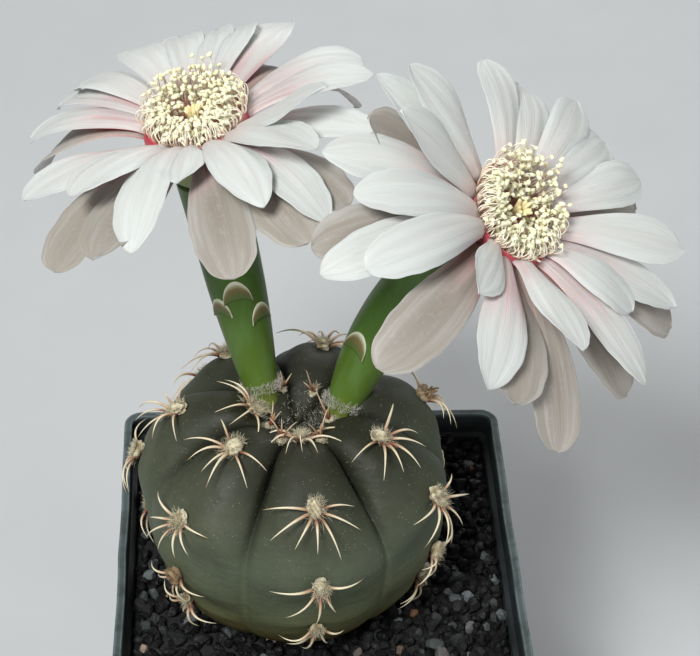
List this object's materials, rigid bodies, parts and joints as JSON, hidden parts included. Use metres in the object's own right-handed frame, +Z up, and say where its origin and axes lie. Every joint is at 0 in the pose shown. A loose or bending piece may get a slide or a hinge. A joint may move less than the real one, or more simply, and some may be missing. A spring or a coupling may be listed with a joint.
{
  "type": "chin cactus in flower in a square plastic pot",
  "caption": "Low ribbed globe cactus with curved spines and large pale daisy-like flowers on smooth green tubes, in a small square plastic pot topped with dark gravel.",
  "frame": {"origin": "centre of the pot's flat underside", "axes": "+Z up, +X to the right and -Y towards the viewer whom the right-hand flower leans to"},
  "size_m": [0.1025, 0.0824, 0.1594],
  "materials": {
    "pot": "dark grey moulded plastic, slightly dusty",
    "gravel": "dry charcoal-black angular grit with a few grey and brown stones",
    "cactus_body": "matt grey-green skin with a blue-grey bloom, cream wool and straw-coloured spines",
    "flower_tube": "smooth satin green with pale scales",
    "petals": "soft translucent white, flushed pink at the foot",
    "stamens": "cream-yellow anthers on pale filaments",
    "style": "pale yellow stigma on a pink-cream column"
  },
  "bodies": {
    "root": {"pot": "pot", "gravel": "gravel", "cactus_body": "cactus_body", "left_flower_tube": "flower_tube", "left_flower_petals": "petals", "left_flower_stamens": "stamens", "left_flower_style": "style", "right_flower_tube": "flower_tube", "right_flower_petals": "petals", "right_flower_stamens": "stamens", "right_flower_style": "style"}
  },
  "joints": []
}
